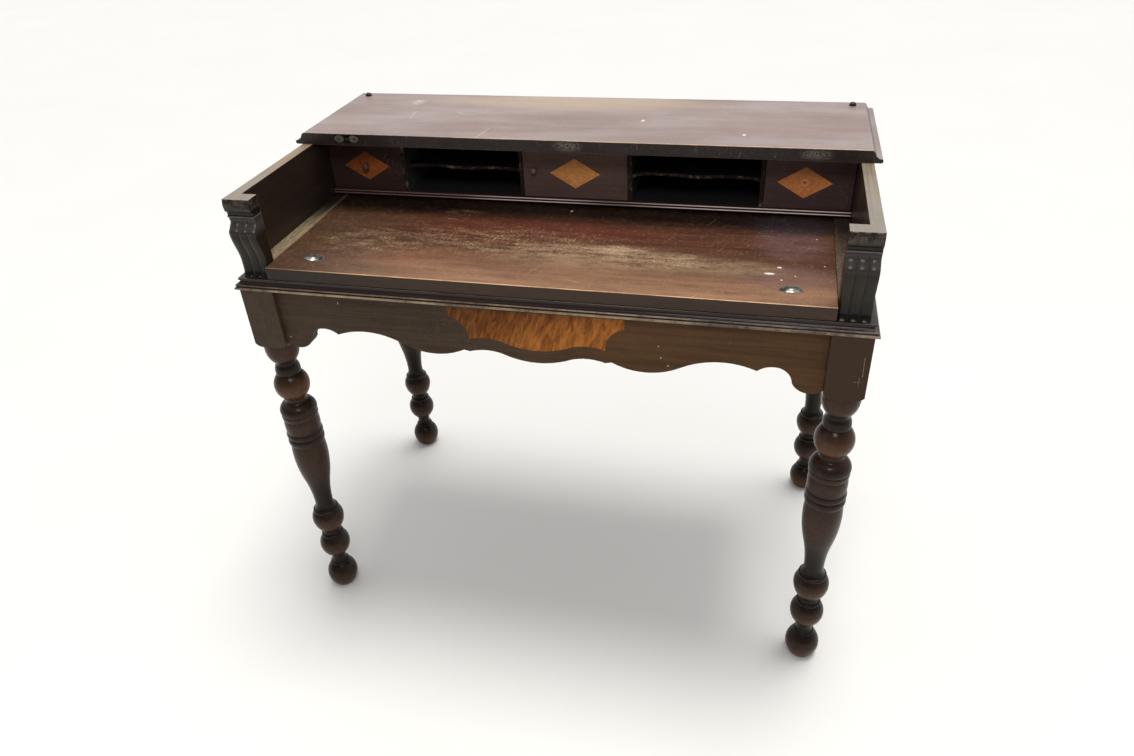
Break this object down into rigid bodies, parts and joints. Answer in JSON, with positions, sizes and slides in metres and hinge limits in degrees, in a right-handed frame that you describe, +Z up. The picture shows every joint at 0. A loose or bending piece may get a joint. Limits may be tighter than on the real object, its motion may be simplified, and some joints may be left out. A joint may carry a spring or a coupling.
{
  "type": "writing desk",
  "caption": "Spinet writing desk on turned legs, with a sliding writing surface between fluted arms and a gallery of drawers, pigeonholes and a small door under a fixed top.",
  "frame": {"origin": "on the floor under the middle of the desk", "axes": "+X to the right across the front, +Y to the back, +Z up; the front faces -Y"},
  "size_m": [0.99, 0.539, 0.867],
  "materials": {
    "leg_finish": "shaded dark walnut stain under gloss varnish",
    "apron_finish": "dark walnut stain under worn varnish",
    "base_finish": "dark walnut stain, worn pale on the reeds",
    "arm_finish": "near-black stain, bare along the top",
    "bracket_finish": "near-black stain, bare on the cap",
    "guide_wood": "bare wood, dulled by use",
    "slide_finish": "red-brown varnish, scratched",
    "top_finish": "brown varnish, dulled and scratched",
    "gallery_finish": "near-black stain",
    "drawer_finish": "dark maroon-brown stain",
    "inner_wood": "unfinished wood",
    "inlay": "orange figured veneer under varnish",
    "knob_finish": "dark stain under varnish",
    "nickel": "dulled nickel plate",
    "steel": "tarnished steel",
    "black_rubber": "matt black"
  },
  "bodies": {
    "frame": {"leg_front_left": "leg_finish", "leg_front_right": "leg_finish", "leg_back_left": "leg_finish", "leg_back_right": "leg_finish", "apron_front": "apron_finish", "apron_back": "apron_finish", "apron_left": "apron_finish", "apron_right": "apron_finish", "base_panel": "base_finish", "base_moulding_front": "base_finish", "base_moulding_left": "base_finish", "base_moulding_right": "base_finish", "arm_left": "arm_finish", "arm_right": "arm_finish", "bracket_left": "bracket_finish", "bracket_right": "bracket_finish", "guide_left": "guide_wood", "guide_right": "guide_wood", "top_board": "top_finish", "gallery_bottom": "gallery_finish", "partition_left_outer": "gallery_finish", "partition_left_inner": "gallery_finish", "partition_right_inner": "gallery_finish", "partition_right_outer": "gallery_finish", "shelf_left": "gallery_finish", "shelf_right": "gallery_finish", "case_back": "inner_wood", "gallery_top": "inner_wood", "apron_dowels": "inner_wood", "glue_blocks": "inner_wood", "apron_inlay": "inlay", "glue_block_screws": "steel", "top_screws": "steel", "hinge_screws": "steel", "hinge_leaf": "steel", "bumper_left": "black_rubber", "bumper_right": "black_rubber"},
    "slide": {"slide_board": "slide_finish", "slide_tongue_left": "inner_wood", "slide_tongue_right": "inner_wood", "pull_left": "nickel", "pull_right": "nickel"},
    "drawer_left": {"drawer_left_front": "drawer_finish", "drawer_left_side_left": "inner_wood", "drawer_left_side_right": "inner_wood", "drawer_left_back": "inner_wood", "drawer_left_bottom": "inner_wood", "drawer_left_inlay": "inlay", "drawer_left_knob": "knob_finish"},
    "drawer_right": {"drawer_right_front": "drawer_finish", "drawer_right_side_left": "inner_wood", "drawer_right_side_right": "inner_wood", "drawer_right_back": "inner_wood", "drawer_right_bottom": "inner_wood", "drawer_right_inlay": "inlay"},
    "door": {"door_panel": "drawer_finish", "door_inlay": "inlay", "door_knob": "knob_finish", "door_pivots": "steel"}
  },
  "joints": [
    {"name": "slide_pull", "type": "slide", "parent": "frame", "child": "slide", "axis": [0, -1, 0], "range_m": [0, 0.18]},
    {"name": "drawer_left_pull", "type": "slide", "parent": "frame", "child": "drawer_left", "axis": [0, -1, 0], "range_m": [0, 0.13]},
    {"name": "drawer_right_pull", "type": "slide", "parent": "frame", "child": "drawer_right", "axis": [0, -1, 0], "range_m": [0, 0.13]},
    {"name": "door_swing", "type": "hinge", "parent": "frame", "child": "door", "pos_m": [0.08742, 0.0525, 0.788], "axis": [0, 0, 1], "range_deg": [0, 95]}
  ]
}
